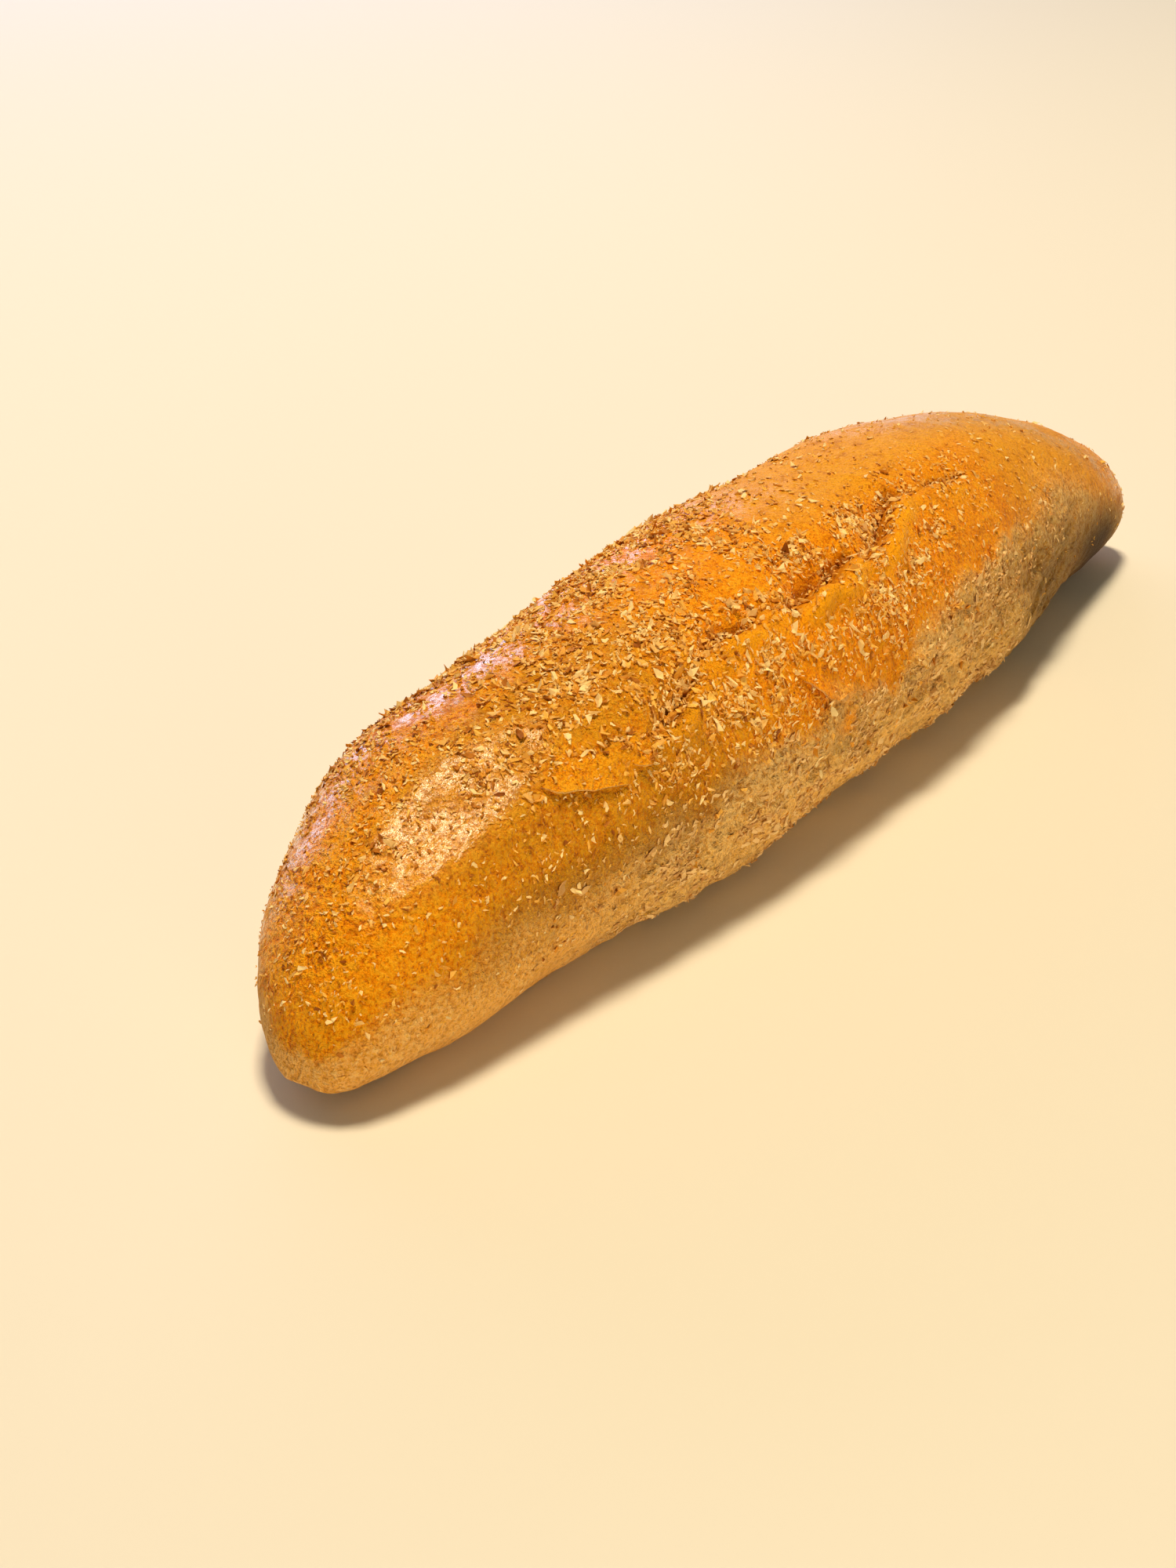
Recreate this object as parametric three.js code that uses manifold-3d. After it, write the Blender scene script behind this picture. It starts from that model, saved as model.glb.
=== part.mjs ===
// Bran bread: a hand-shaped soft baguette, baked on a flat sheet, with coarse wheat bran stuck to its crust.
// Millimetres. +X runs along the loaf towards its hooked end, +Z is up, and the loaf rests on Z = 0.
import * as THREE from "three";
import { ParametricGeometry } from "three/addons/geometries/ParametricGeometry.js";
import { ImprovedNoise } from "three/addons/math/ImprovedNoise.js";
import { mergeVertices } from "three/addons/utils/BufferGeometryUtils.js";
import Module from "manifold-3d";

// The whole loaf
const LENGTH = 309;
const WIDTH = 70;
const HEIGHT = 56;

// How the loaf runs from end to end: how full its ends are, how high their foremost points stand,
// where its underside starts to lift, and how its middle line bends, drifts and hooks in plan.
const END_FULLNESS = { blunt: 2.5, hooked: 3.04 };
const HEIGHT_FULLNESS = 2.33;
const SWELL = 0.055;
const NOSE_HEIGHT = { blunt: 9.4, hooked: 9.9 };
const LIFT_START = 0.45;
const LIFT_POWER = 6;
const BEND = 6.1;
const DRIFT = -2.4;
const HOOK = { blunt: -10.8, hooked: -15.3 };
const HOOK_POWER = 6;

// How the loaf runs round its section, which is widest at the waist and cut flat below by the baking sheet.
const WAIST = 0.4;
const UPPER_POWER = 2.2;
const LOWER_POWER = 2.4;
const SHEET_CUT = 0.06;

// Angles round the section are in degrees: 0 is the torn side towards -Y, 90 the crown, 180 the other side.
const CROWN = 90;

// Swellings and dents that the dough kept: place along the loaf, angle, reach both ways, and height.
const BULGES = [
  { x: -104, angle: 140, long: 17, round: 40, high: 2.1 },
  { x: -62, angle: 118, long: 26, round: 35, high: -0.8 },
  { x: 62, angle: 119, long: 18, round: 35, high: 1.2 },
  { x: -40, angle: -37, long: 18, round: 35, high: 1.3 },
  { x: -92, angle: -24, long: 16, round: 35, high: -0.9 },
  { x: -126, angle: -40, long: 13, round: 35, high: 1.2 },
  { x: 62, angle: -32, long: 14, round: 35, high: 1.9 },
  { x: 100, angle: -14, long: 18, round: 35, high: -0.4 },
];

// The slash, a shallow cut that closed again in the oven. Its route winds along one shoulder.
const SLASH_ROUTE = [
  { x: -90, angle: 50 },
  { x: -72, angle: 43 },
  { x: -42, angle: 54 },
  { x: -22, angle: 51 },
  { x: 8, angle: 52 },
  { x: 28, angle: 63 },
  { x: 52, angle: 60 },
];
const SLASH_DEPTH = 3.2;
const SLASH_HALF_WIDTH = 5;
const SLASH_FADE = 12;
const SLASH_LIP = { high: 1.1, away: 7, wide: 4 };

// The torn lower side, where the crust pulled away pale and rough.
const TEAR = { angle: -8, round: 26, from: -112, to: 96, fade: 18, rough: 1.5, pitch: 9 };

// Faces of the loaf's skin
const STATIONS = 80;
const SPOKES = 50;
const END_CROWDING = 0.85;
const CROWN_CROWDING = 0.4;

// Bran flakes large enough to stand out of the crust
const FLAKE_COUNT = 108;
const FLAKE_SEED = 41;
const FLAKE_CORNERS = 5;
const FLAKE_LONG = { least: 2.8, most: 4.6 };
const FLAKE_ASPECT = { least: 0.42, most: 0.7 };
const FLAKE_THICK = 1.3;
const FLAKE_PROUD = 0.55;
const FLAKE_TILT = 12;
const FLAKE_FIELD = { from: -124, to: 112, low: 24, high: 156, fade: 34, jitter: 5 };

const CRUST_COLOUR = 0xc47f2c;
const CRUST_ROUGHNESS = 0.62;

const radians = THREE.MathUtils.degToRad;
const lerp = THREE.MathUtils.lerp;
const smoothstep = THREE.MathUtils.smoothstep;
const bell = (offset, reach) => Math.exp(-((offset / reach) ** 2));
const turnApart = (angle, other) => THREE.MathUtils.euclideanModulo(angle - other + 180, 360) - 180;

// Repeatable random numbers from 0 to 1.
function makeRandom(seed) {
  let state = seed;
  return () => {
    state = (state * 1664525 + 1013904223) % 4294967296;
    return state / 4294967296;
  };
}

// Sizes of the section at a share of the half length, from -1 at the blunt end to 1 at the hooked end.
function sectionSizes(share) {
  const end = share < 0 ? "blunt" : "hooked";
  const nose = NOSE_HEIGHT[end];
  const left = 1 - share ** 2;
  const lifted = Math.max((Math.abs(share) - LIFT_START) / (1 - LIFT_START), 0);
  return {
    halfWidth: (WIDTH / 2) * (1 + SWELL * share) * left ** (1 / END_FULLNESS[end]),
    top: lerp(nose, HEIGHT * (1 + (SWELL / 2) * share), left ** (1 / HEIGHT_FULLNESS)),
    bottom: nose * (1 - (1 - lifted ** 2) ** (1 / LIFT_POWER)),
    middle: BEND * share ** 2 + HOOK[end] * Math.abs(share) ** HOOK_POWER + DRIFT * share,
  };
}

// A point of the smooth loaf, before its relief.
function smoothPoint(share, angle) {
  const { halfWidth, top, bottom, middle } = sectionSizes(share);
  const across = Math.cos(radians(angle));
  const rise = Math.sin(radians(angle));
  const power = 2 / (rise > 0 ? UPPER_POWER : LOWER_POWER);
  const reach = Math.abs(rise) ** power;
  const level = rise > 0 ? WAIST + (1 - WAIST) * reach : Math.max(WAIST - (WAIST + SHEET_CUT) * reach, 0);
  return new THREE.Vector3(
    (share * LENGTH) / 2,
    middle - halfWidth * Math.sign(across) * Math.abs(across) ** power,
    lerp(bottom, top, level),
  );
}

// The outward direction of the smooth loaf, from its slopes both ways.
function smoothNormal(share, angle) {
  const step = 1e-3;
  const ahead = smoothPoint(Math.min(share + step, 1), angle);
  const along = ahead.sub(smoothPoint(Math.max(share - step, -1), angle));
  const round = smoothPoint(share, angle + step).sub(smoothPoint(share, angle - step));
  return along.cross(round).normalize();
}

const slashCurve = new THREE.SplineCurve(SLASH_ROUTE.map(({ x, angle }) => new THREE.Vector2(x, angle)));
const slashPoints = slashCurve.getPoints(80);

// Angle of the slash at a place along the loaf.
function slashAngle(x) {
  const next = slashPoints.findIndex((point) => point.x > x);
  if (next <= 0) return slashPoints[next === 0 ? 0 : slashPoints.length - 1].y;
  const [before, after] = [slashPoints[next - 1], slashPoints[next]];
  return lerp(before.y, after.y, (x - before.x) / (after.x - before.x));
}

// 1 between two places and 0 outside them, with a soft start and end.
function stretch(x, from, to, fade) {
  return smoothstep(x, from, from + fade) * (1 - smoothstep(x, to - fade, to));
}

// Depth of the slash and height of the lip that rose along its lower edge.
function slashRelief(x, angle) {
  const share = stretch(x, SLASH_ROUTE[0].x, SLASH_ROUTE.at(-1).x, SLASH_FADE);
  const off = radians(turnApart(angle, slashAngle(x))) * (WIDTH / 2);
  const cut = -SLASH_DEPTH * bell(off, SLASH_HALF_WIDTH);
  return share * (cut + SLASH_LIP.high * bell(off + SLASH_LIP.away, SLASH_LIP.wide));
}

const unevenness = new ImprovedNoise();

// Uneven crags of the torn side.
function tearRelief(x, angle) {
  const apart = turnApart(angle, TEAR.angle);
  const down = radians(apart) * (WIDTH / 2);
  const crag = unevenness.noise(x / TEAR.pitch, down / TEAR.pitch, 0.5);
  return stretch(x, TEAR.from, TEAR.to, TEAR.fade) * bell(apart, TEAR.round) * TEAR.rough * crag;
}

function relief(x, angle) {
  let height = slashRelief(x, angle) + tearRelief(x, angle);
  for (const bulge of BULGES) {
    height += bulge.high * bell(x - bulge.x, bulge.long) * bell(turnApart(angle, bulge.angle), bulge.round);
  }
  return height;
}

// A point of the finished skin. The base stays flat on the baking sheet.
function skinPoint(share, angle) {
  const point = smoothPoint(share, angle);
  if (Math.abs(share) < 1) {
    point.addScaledVector(smoothNormal(share, angle), relief(point.x, angle));
  }
  point.z = Math.max(point.z, 0);
  return point;
}

// Station along the loaf, with more of them towards the round ends.
function stationShare(step) {
  return lerp(2 * step - 1, Math.sin(Math.PI * (step - 0.5)), END_CROWDING);
}

// Angle of a spoke round the section, with more of them over the crown than under the base.
function spokeAngle(turn) {
  return 360 * turn - CROWN + (CROWN_CROWDING * 180 * Math.sin(2 * Math.PI * turn)) / Math.PI;
}

const wasm = await Module();
wasm.setup();

// A closed three.js geometry as a solid, without the faces that shrink to nothing at a pole.
function toSolid(geometry) {
  const bare = geometry.clone();
  bare.deleteAttribute("normal");
  bare.deleteAttribute("uv");
  const merged = mergeVertices(bare, 1e-4);
  const corners = [];
  for (let i = 0; i < merged.index.count; i += 3) {
    const [a, b, c] = [merged.index.getX(i), merged.index.getX(i + 1), merged.index.getX(i + 2)];
    if (a !== b && b !== c && c !== a) corners.push(a, b, c);
  }
  return new wasm.Manifold(
    new wasm.Mesh({
      numProp: 3,
      vertProperties: new Float32Array(merged.attributes.position.array),
      triVerts: new Uint32Array(corners),
    }),
  );
}

// A solid as a three.js geometry with flat faces.
function toGeometry(solid) {
  const { vertProperties, triVerts } = solid.getMesh();
  const geometry = new THREE.BufferGeometry();
  geometry.setAttribute("position", new THREE.BufferAttribute(vertProperties, 3));
  geometry.setIndex(new THREE.BufferAttribute(triVerts, 1));
  geometry.computeVertexNormals();
  return geometry;
}

// The loaf's skin, closed round the section and drawn to a point at each end.
function makeLoaf() {
  const place = (step, turn, target) => {
    target.copy(skinPoint(stationShare(step), spokeAngle(turn % 1)));
  };
  return new ParametricGeometry(place, STATIONS, SPOKES);
}

// How thickly bran lies at a place: full on the crown, thinner towards the ends and the sides.
function branShare(x, angle) {
  const { from, to, low, high, fade } = FLAKE_FIELD;
  const sides = smoothstep(angle, low, CROWN) * (1 - smoothstep(angle, CROWN, high));
  return stretch(x, from, to, fade) * sides ** 0.3;
}

// One flake: a thin chip with uneven corners, lying on its flat side about the origin.
function makeFlake(random) {
  const long = lerp(FLAKE_LONG.least, FLAKE_LONG.most, random()) / 2;
  const wide = long * lerp(FLAKE_ASPECT.least, FLAKE_ASPECT.most, random());
  const corners = [];
  for (let i = 0; i < FLAKE_CORNERS; i += 1) {
    const turn = (2 * Math.PI * (i + 0.5 * random())) / FLAKE_CORNERS;
    corners.push(new THREE.Vector2(long * Math.cos(turn), wide * Math.sin(turn)));
  }
  const outline = new THREE.Shape(corners);
  const chip = new THREE.ExtrudeGeometry(outline, { depth: FLAKE_THICK, bevelEnabled: false });
  return chip.translate(0, 0, FLAKE_PROUD - FLAKE_THICK);
}

// Turns a flake to lie on the crust at a place, spun and tilted a little.
function layFlake(chip, share, angle, random) {
  const up = new THREE.Vector3(0, 0, 1);
  const tilt = () => radians(FLAKE_TILT) * (2 * random() - 1);
  const lie = new THREE.Euler(tilt(), tilt(), 2 * Math.PI * random(), "ZXY");
  const turn = new THREE.Quaternion().setFromUnitVectors(up, smoothNormal(share, angle));
  turn.multiply(new THREE.Quaternion().setFromEuler(lie));
  return chip.applyQuaternion(turn).translate(...skinPoint(share, angle).toArray());
}

// Flakes spread evenly by steps that never line up, and kept where bran lies thickly enough.
function makeFlakes() {
  const random = makeRandom(FLAKE_SEED);
  const { from, to, low, high, jitter } = FLAKE_FIELD;
  const flakes = [];
  for (let i = 1; flakes.length < FLAKE_COUNT; i += 1) {
    const x = lerp(from, to, (0.7548776662 * i) % 1) + jitter * (2 * random() - 1);
    const angle = lerp(low, high, (0.569840291 * i) % 1) + jitter * (2 * random() - 1);
    if (random() > branShare(x, angle)) continue;
    flakes.push(layFlake(makeFlake(random), (2 * x) / LENGTH, angle, random));
  }
  return flakes;
}

// The loaf with its bran fused on, moved so that the origin is under the middle of its box.
function makeBread() {
  const loaf = makeLoaf();
  loaf.computeBoundingBox();
  const middle = loaf.boundingBox.getCenter(new THREE.Vector3());
  let solid = toSolid(loaf);
  for (const flake of makeFlakes()) {
    solid = solid.add(toSolid(flake));
  }
  const crust = new THREE.MeshStandardMaterial({
    color: CRUST_COLOUR,
    roughness: CRUST_ROUGHNESS,
    metalness: 0,
  });
  const bread = new THREE.Mesh(toGeometry(solid).translate(-middle.x, -middle.y, 0), crust);
  bread.name = "loaf";
  return bread;
}

const branBread = new THREE.Group();
branBread.name = "bran_bread";
branBread.add(makeBread());

export default branBread;
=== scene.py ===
import itertools
import bpy
import numpy as np
from mathutils import Matrix, Vector


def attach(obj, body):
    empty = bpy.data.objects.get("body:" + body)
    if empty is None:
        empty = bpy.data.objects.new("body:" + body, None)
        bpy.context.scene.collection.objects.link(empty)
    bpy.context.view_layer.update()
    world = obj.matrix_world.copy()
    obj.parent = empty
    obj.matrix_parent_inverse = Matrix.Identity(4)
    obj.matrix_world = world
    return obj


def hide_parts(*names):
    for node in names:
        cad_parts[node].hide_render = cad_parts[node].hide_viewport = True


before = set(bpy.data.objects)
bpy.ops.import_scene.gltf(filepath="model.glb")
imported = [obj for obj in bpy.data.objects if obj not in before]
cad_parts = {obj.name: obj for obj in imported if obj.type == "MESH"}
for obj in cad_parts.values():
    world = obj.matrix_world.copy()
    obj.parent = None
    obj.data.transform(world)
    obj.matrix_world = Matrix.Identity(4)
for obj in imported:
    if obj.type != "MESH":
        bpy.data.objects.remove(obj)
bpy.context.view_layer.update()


# The loaf: soft wheat and bran dough, rolled by hand to a long shape and baked on a flat sheet.
# Its crust browned over the crown and stayed pale and torn low on its sides, where the dough swelled last.
# The slash cut along one shoulder closed again in the oven, in short creases.
MM = 0.001
LENGTH, WIDTH, HEIGHT = 309.0, 70.0, 56.0
END_FULLNESS = {"blunt": 2.5, "hooked": 3.04}
HEIGHT_FULLNESS = 2.33
SWELL = 0.055
NOSE_HEIGHT = {"blunt": 9.4, "hooked": 9.9}
LIFT_START, LIFT_POWER = 0.45, 6.0
BEND, DRIFT = 6.1, -2.4
HOOK = {"blunt": -10.8, "hooked": -15.3}
HOOK_POWER = 6.0
WAIST, SHEET_CUT = 0.4, 0.06
UPPER_POWER, LOWER_POWER = 2.2, 2.4
# Angles are in degrees round the loaf: 0 is the torn side towards -Y, 90 the crown, 180 the other side
# and -90 the base. Places along it are in mm, from -154 at the blunt end to 154 at the hooked end.
MM_PER_DEGREE = np.radians(WIDTH / 2)
BULGES = (  # place along the loaf, angle, reach along and round, height
    (-104, 140, 17, 40, 2.1),
    (-62, 118, 26, 35, -0.8),
    (62, 119, 18, 35, 1.2),
    (-40, -37, 18, 35, 1.3),
    (-92, -24, 16, 35, -0.9),
    (-126, -40, 13, 35, 1.2),
    (62, -32, 14, 35, 1.9),
    (100, -14, 18, 35, -0.4),
)
CREASES = (  # depth, how far the crown side slopes down into it, and its route from the blunt end on
    (1.4, 4.0, ((-93, 52), (-84, 49), (-74, 46))),
    (3.2, 4.0, ((-77, 42), (-70, 42), (-64, 44), (-55, 49))),
    (4.0, 5.5, ((-54, 54), (-45, 55), (-36, 54), (-25, 55))),
    (4.6, 6.0, ((-26, 49), (-16, 51), (-8, 50), (3, 54))),
    (5.0, 6.0, ((2, 50), (12, 51), (20, 57), (26, 63), (33, 66))),
    (1.8, 3.5, ((34, 63), (47, 60), (58, 57))),
)
CREASE_WALL = 0.8  # reach of the steep wall on the lower side
LIP_OFFSET, LIP_REACH, LIP_SHARE = 3.2, 3.0, 0.4  # the lip that swelled up below a crease
FOLD_ROUTE = ((-138, 62), (-132, 58), (-125, 51), (-117, 48), (-111, 45), (-104, 44), (-97, 47))
FOLD_HEIGHT = 1.3
FOLD_SLOPES = (12.0, 4.0)  # how far it slopes down on its crown side and on its lower side
FACET = (-118, 69)
FACET_DEPTH, FACET_ROUND = 1.1, 0.2
FLAPS = (  # edges of thin crust that lifted: how high, and the route from the blunt end on
    (0.5, ((-101, 52), (-98, 46), (-95, 44), (-89, 37), (-83, 30))),
    (0.4, ((-82, 37), (-76, 33))),
    (0.5, ((-34, 27), (-28, 21), (-23, 14), (-17, 11))),
)
FLAP_SLOPE, TEAR_DEPTH, TEAR_REACH = 4.0, 0.5, 1.6  # rise of the crust to a flap, and the dip below it
BROWN_EDGE = (  # place along the loaf and angle at which the browned crust ends on the torn side
    (-152, 18), (-144, 12), (-130, 3), (-121, 9), (-105, 7), (-89, 9), (-72, 6), (-60, 13), (-30, 13),
    (-13, 3), (0, 6), (19, 15), (39, 20), (60, 22), (76, 28), (96, 38), (112, 33), (125, 14), (150, 0),
)
BROWN_SOFTNESS = (  # place along the loaf and degrees that the change of colour takes
    (-150, 18), (-110, 16), (-85, 13), (-50, 6), (0, 4.5), (60, 4.5), (78, 10), (100, 18), (140, 18),
)
# The floury top is partly a trace of flour and partly a painted sheen.
FLOUR_AND_SHEEN_EDGE = (  # place along the loaf and angle at which the floury top starts
    (40, 96), (70, 86), (93, 77), (109, 60), (123, 38), (135, 18), (150, 0),
)
OTHER_BROWN_EDGE = 14.0
TORN_REACH = (-118, 128, 44)  # start, stop and fade
FIBRE_DRAWN, FIBRE_COS, FIBRE_SIN = 0.25, 0.94, 0.34  # torn fibres rise by 20 degrees along the loaf
CROWN_SHINE, SHOULDER_SHINE = 0.25, 1.2
# Strength of the painted shade on the low side near the hooked end, and under its tip.
SIDE_SHADE, TIP_SHADE = 0.65, 0.97
DEEP_CREASE = 3.0
STRIPES_DRAWN = (0.45, 1, 1)  # torn crumb is drawn out along the loaf
PIT_DEPTH, BRAN_BED, FINE_LUMPS = 0.6, 0.2, 0.08


def smoothstep(value, low, high):
    """0 up to low, 1 from high on, and a smooth rise between them."""
    part = np.clip((value - low) / (high - low), 0, 1)
    return part * part * (3 - 2 * part)


def bell(offset, reach):
    """1 at no offset, and a smooth fall to 0 on both sides."""
    return np.exp(-((offset / reach) ** 2))


def stretch(x, start, stop, fade):
    """1 between two places along the loaf and 0 outside them, with a soft start and end."""
    return smoothstep(x, start, start + fade) * (1 - smoothstep(x, stop - fade, stop))


def turn_apart(angle, other):
    """Difference of two angles, from -180 to 180."""
    return (angle - other + 180) % 360 - 180


def lumps(points, size, seed):
    """Smooth uneven values from -1 to 1 at points in mm, with lumps of about the given size."""
    cell = points / size
    corner = np.floor(cell).astype(np.int64)
    part = cell - corner
    part = part**3 * (part * (part * 6 - 15) + 10)
    total = np.zeros(len(points))
    for step in itertools.product((0, 1), repeat=3):
        key = (corner + step) @ np.array((374761393, 668265263, 2246822519)) + seed * 3266489917
        key = ((key ^ (key >> 13)) * 1274126177) & 0xFFFFFFFF
        key = ((key ^ (key >> 16)) * 2246822519) & 0xFFFFFFFF
        weight = np.where(step, part, 1 - part).prod(axis=1)
        total += weight * (key / 0x7FFFFFFF - 1)
    return total


def smooth_points(share, angle):
    """Points of the loaf before its relief. share runs from -1 at the blunt end to 1 at the hooked end."""
    blunt = share < 0
    nose = np.where(blunt, NOSE_HEIGHT["blunt"], NOSE_HEIGHT["hooked"])
    left = np.clip(1 - share**2, 0, 1)
    lifted = np.clip((np.abs(share) - LIFT_START) / (1 - LIFT_START), 0, 1)
    fullness = np.where(blunt, END_FULLNESS["blunt"], END_FULLNESS["hooked"])
    half_width = WIDTH / 2 * (1 + SWELL * share) * left ** (1 / fullness)
    top = nose + (HEIGHT * (1 + SWELL / 2 * share) - nose) * left ** (1 / HEIGHT_FULLNESS)
    bottom = nose * (1 - (1 - lifted**2) ** (1 / LIFT_POWER))
    hook = np.where(blunt, HOOK["blunt"], HOOK["hooked"]) * np.abs(share) ** HOOK_POWER
    middle = BEND * share**2 + hook + DRIFT * share
    across, rise = np.cos(np.radians(angle)), np.sin(np.radians(angle))
    power = 2 / np.where(rise > 0, UPPER_POWER, LOWER_POWER)
    reach = np.abs(rise) ** power
    lower = np.maximum(WAIST - (WAIST + SHEET_CUT) * reach, 0)
    level = np.where(rise > 0, WAIST + (1 - WAIST) * reach, lower)
    return np.stack(
        [
            share * LENGTH / 2,
            middle - half_width * np.sign(across) * np.abs(across) ** power,
            bottom + (top - bottom) * level,
        ],
        axis=1,
    )


TURN_PER_STEP = 150.0  # degrees of turn for a step of 1 in share, so that both steps are short alike


def outward(surface, share, angle, step=1e-3):
    """Outward directions of a surface that is given as a function of share and angle."""
    along = surface(np.minimum(share + step, 1), angle) - surface(np.maximum(share - step, -1), angle)
    turn = TURN_PER_STEP * step
    normal = np.cross(along, surface(share, angle + turn) - surface(share, angle - turn))
    return normal / np.maximum(np.linalg.norm(normal, axis=1, keepdims=True), 1e-12)


facet_share, facet_angle = np.array([2 * FACET[0] / LENGTH]), np.array([FACET[1]], float)
facet_spot = smooth_points(facet_share, facet_angle)[0]
facet_out = outward(smooth_points, facet_share, facet_angle)[0]


def follow_route(x, angle, route):
    """Distance in mm from a route drawn on the crust, positive on its crown side, and how far along it."""
    places = np.array(route, float) * (1, MM_PER_DEGREE)
    here = np.stack([x, MM_PER_DEGREE * angle], axis=1)
    runs = np.diff(places, axis=0)
    lengths = np.hypot(*runs.T)
    passed = np.r_[0, np.cumsum(lengths)]
    nearest = np.full(len(x), np.inf)
    offset, along = np.zeros(len(x)), np.zeros(len(x))
    for start, run, length, before in zip(places, runs, lengths, passed):
        part = np.clip((here - start) @ run / length**2, 0, 1)
        off = here - start - part[:, None] * run
        apart = np.hypot(*off.T)
        side = np.where(run[0] * off[:, 1] < run[1] * off[:, 0], -1, 1)
        closer = apart < nearest
        nearest = np.where(closer, apart, nearest)
        offset = np.where(closer, apart * side, offset)
        along = np.where(closer, before + part * length, along)
    return offset, along / passed[-1]


def taper(along):
    """1 in the middle of a route and 0 at both its ends."""
    return np.sqrt(np.clip(4 * along * (1 - along), 0, 1))


def side_angle(angle):
    """Angle above the widest line on either side of the loaf, from -90 under it to 90 at the crown."""
    return np.where(angle > 90, 180 - angle, angle)


def over_edge(points, angle):
    """Degrees above the ragged edge at which the browned crust ends."""
    other_edge = OTHER_BROWN_EDGE + 9 * lumps(points * (1, 0, 0), 32, 6)
    edge = np.where(angle > 90, other_edge, np.interp(points[:, 0], *zip(*BROWN_EDGE)))
    ragged = 6 * lumps(points, 11, 3) + 3.5 * lumps(points, 4, 4)
    ragged += 5 * stretch(points[:, 0], -60, 85, 25) * lumps(points, 19, 5)
    return side_angle(angle) + ragged - edge


def browned_ramp(points, angle):
    """From -1, well inside the pale crust, to 1, well inside the browned crust."""
    return np.clip(over_edge(points, angle) / np.interp(points[:, 0], *zip(*BROWN_SOFTNESS)), -1, 1)


def glazed_share(points):
    """1 on the flat facet above the fold, where the crust is smooth and shines; its colour is painted
    lighter there as a highlight.
    """
    return smoothstep((points - facet_spot) @ facet_out, -2.2 * FACET_DEPTH, -0.5 * FACET_DEPTH)


def shine_share(points, angle):
    """How much the crust shines: most on the facet, some over the crown and the other shoulder."""
    x = points[:, 0]
    over_top = 1 - smoothstep(angle, 150, 175)
    crown = smoothstep(angle, 40, 75) * over_top * stretch(x, -152, 30, 40)
    shoulder = smoothstep(angle, 87, 106) * over_top
    shoulder *= smoothstep(x, -154, -132) * (1 - smoothstep(x, -40, 15))
    return np.maximum(glazed_share(points), CROWN_SHINE * crown + SHOULDER_SHINE * shoulder)


def painted_shoulder_shade_share(points, angle):
    """1 along the shoulder between browned and pale crust, towards the blunt end, painted duller and darker
    there as shade.
    """
    band = 1 - smoothstep(np.abs(browned_ramp(points, angle) - 0.3), 0.3, 1.2)
    for _, route in FLAPS:
        offset, along = follow_route(points[:, 0], angle, route)
        above = smoothstep(offset, -0.5, 0.5) * (1 - smoothstep(offset, 7, 13))
        band = band * (1 - taper(along) * above)
    return band * stretch(points[:, 0], -140, -40, 30) * (angle < 90)


def low_bounce_light_share(points, angle):
    """1 low on the torn sides, which are painted lighter there as bounce light from below."""
    return smoothstep(-side_angle(angle), -14, 16) * stretch(points[:, 0], -172, 104, 50)


def dulled_share(points, angle):
    """1 in the grey strip of rough crust just under the browned edge, from the middle to the hooked end."""
    under = -over_edge(points, angle)
    strip = smoothstep(under, -1, 3) * (1 - smoothstep(under, 7, 19)) * stretch(points[:, 0], -50, 132, 30)
    return np.where(angle > 90, 0.4, 1.0) * strip


def deepened_share(points, angle):
    """1 on the crown from the last creases on, where the oven browned the crust a little more."""
    return stretch(points[:, 0], 20, 96, 28) * smoothstep(angle, 18, 34) * (1 - smoothstep(angle, 60, 80))


def yellowed_share(points, angle):
    """1 on the crown towards the hooked end, where the crust is more yellow."""
    x = points[:, 0]
    crown = smoothstep(angle, 62, 84) * stretch(x, -24, 142, 30)
    return np.maximum(crown, stretch(x, 58, 142, 28)) * smoothstep(browned_ramp(points, angle), -0.5, 0.8)


def flour_and_sheen_share(points, angle):
    """1 over the top of the hooked end, where a trace of flour and a painted sheen make the crust a dull
    pale tan.
    """
    edge = np.interp(points[:, 0], *zip(*FLOUR_AND_SHEEN_EDGE))
    top = smoothstep(angle, edge - 14, edge + 14) * (1 - smoothstep(angle, edge + 20, edge + 80))
    return top * smoothstep(points[:, 0], 40, 90)


def hooked_end_shade_share(points, angle):
    """How dark the painted shade is on the low side near the hooked end, most of all under its tip."""
    x = points[:, 0]
    side = (1 - smoothstep(angle, -4, 30)) * smoothstep(x, 38, 84)
    tip = (1 - smoothstep(angle, -8, 24)) * smoothstep(x, 74, 124)
    shown = smoothstep(angle, -80, -40) * (1 - 0.9 * smoothstep(x, 128, 156))
    return shown * np.maximum(SIDE_SHADE * side, TIP_SHADE * tip)


def sheet_share(points, angle):
    """1 on the base, which the baking sheet browned."""
    return smoothstep(-side_angle(angle), 52, 62) * stretch(points[:, 0], -142, 142, 16)


def torn_share(points, angle):
    """1 where the pale crust is torn and rough."""
    pale = 1 - smoothstep(browned_ramp(points, angle), -1, 1)
    return pale * (1 - sheet_share(points, angle)) * stretch(points[:, 0], *TORN_REACH)


def pitted_share(points):
    """1 in the pits of torn crust. They run along the loaf and rise a little towards the hooked end."""
    x, y, z = points.T
    drawn = FIBRE_DRAWN * (FIBRE_COS * x + FIBRE_SIN * z)
    fibres = np.stack([drawn, y, FIBRE_COS * z - FIBRE_SIN * x], axis=1)
    low = 0.25 + 0.75 * smoothstep(-z, -30, -20)
    return low * smoothstep(lumps(fibres, 1.5, 41), 0.15, 0.55)


def crease_shapes(x, angle, points):
    """For each crease: how deep it is, how far its crown side slopes, and the distance from it in mm."""
    wander = 0.9 * lumps(points, 4.5, 11) + 0.5 * lumps(points, 2, 12)
    uneven = 0.9 + 0.45 * lumps(points * (1, 0, 0), 8, 13)
    for depth, slope, route in CREASES:
        offset, along = follow_route(x, angle, route)
        yield depth * uneven * taper(along), slope, offset + wander


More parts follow.
